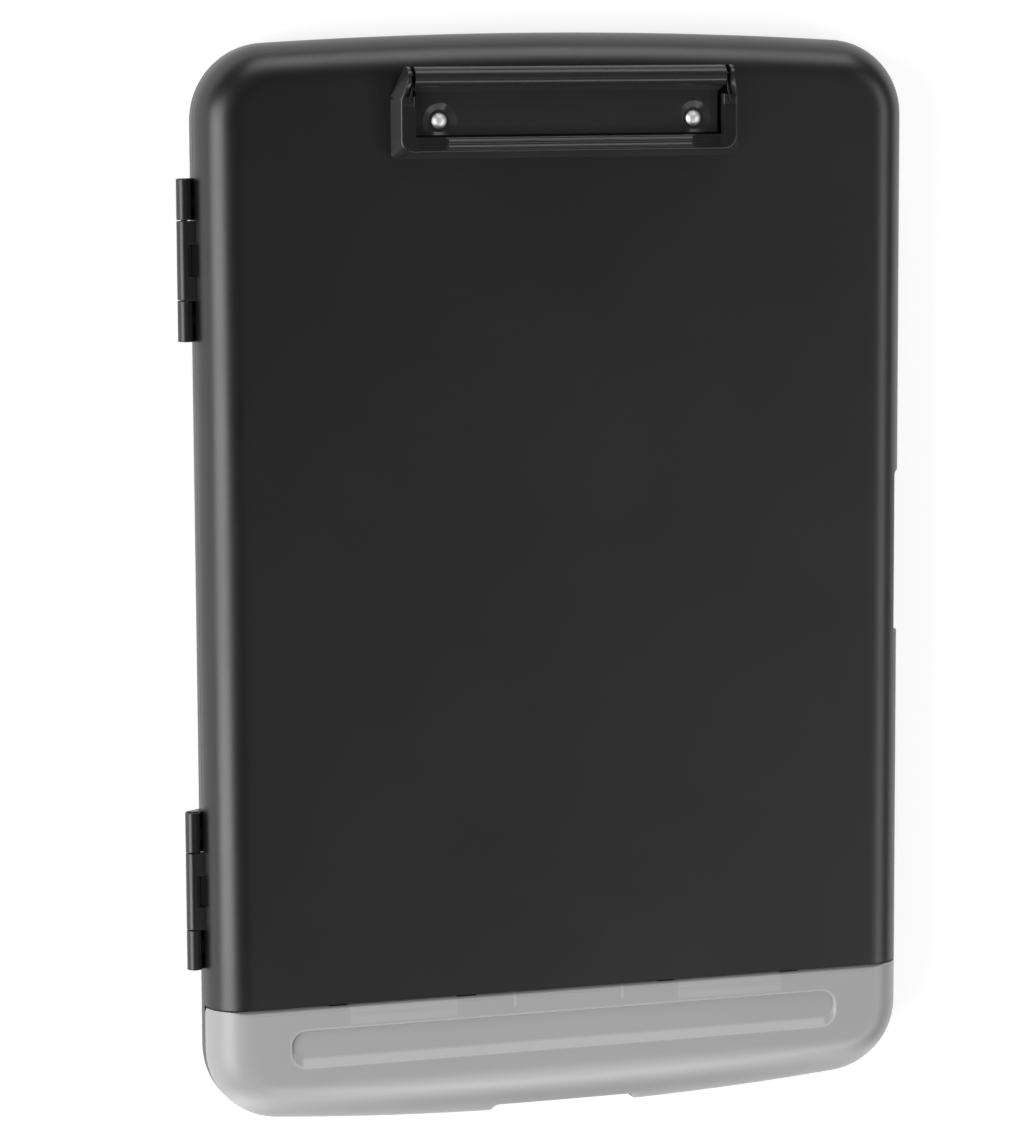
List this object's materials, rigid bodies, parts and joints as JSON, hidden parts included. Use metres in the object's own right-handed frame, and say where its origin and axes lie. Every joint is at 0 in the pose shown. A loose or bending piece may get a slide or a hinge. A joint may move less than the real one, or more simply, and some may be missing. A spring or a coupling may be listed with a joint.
{
  "type": "storage clipboard box",
  "caption": "Hinged plastic storage clipboard: shallow paper tray, lid with a low spring clip, and a frosted door over a pen compartment.",
  "frame": {"origin": "centre of the bottom face that the closed case lies on", "axes": "+X across the case, away from the lid hinges; +Y up the page, towards the clip; +Z out of the writing face"},
  "size_m": [0.2394, 0.3457, 0.0329],
  "materials": {
    "case_plastic": "satin black polypropylene",
    "door_plastic": "frosted grey polypropylene",
    "clip_enamel": "gloss black enamelled steel",
    "pin_steel": "drawn bright",
    "spring_steel": "oiled spring wire",
    "grip_rubber": "matte moulded",
    "rivet_metal": "polished"
  },
  "bodies": {
    "tray": {"base_tray": "case_plastic", "upper_hinge_pin": "pin_steel", "lower_hinge_pin": "pin_steel", "left_pen_door_pin": "pin_steel", "right_pen_door_pin": "pin_steel"},
    "lid": {"lid_cover": "case_plastic", "clip_base_plate": "clip_enamel", "clip_pivot_rod": "clip_enamel", "left_rivet": "rivet_metal", "right_rivet": "rivet_metal", "left_rivet_washer": "pin_steel", "right_rivet_washer": "pin_steel"},
    "pen_door": {"pen_door": "door_plastic"},
    "clip_jaw": {"clip_jaw": "clip_enamel", "left_corner_grip": "grip_rubber", "right_corner_grip": "grip_rubber", "left_clip_spring": "spring_steel", "right_clip_spring": "spring_steel"}
  },
  "joints": [
    {"name": "lid_hinge", "type": "hinge", "parent": "tray", "child": "lid", "pos_m": [-0.12, 0.0047, 0.01215], "axis": [0, -1, 0], "range_deg": [0, 180]},
    {"name": "pen_door_hinge", "type": "hinge", "parent": "tray", "child": "pen_door", "pos_m": [0, -0.1348, 0.022], "axis": [-1, 0, 0], "range_deg": [0, 90]},
    {"name": "clip_jaw_hinge", "type": "hinge", "parent": "lid", "child": "clip_jaw", "pos_m": [0, 0.1592, 0.029], "axis": [-1, 0, 0], "range_deg": [0, 60], "stiffness_Nm_per_rad": 0.12, "springref_deg": -91.67}
  ]
}
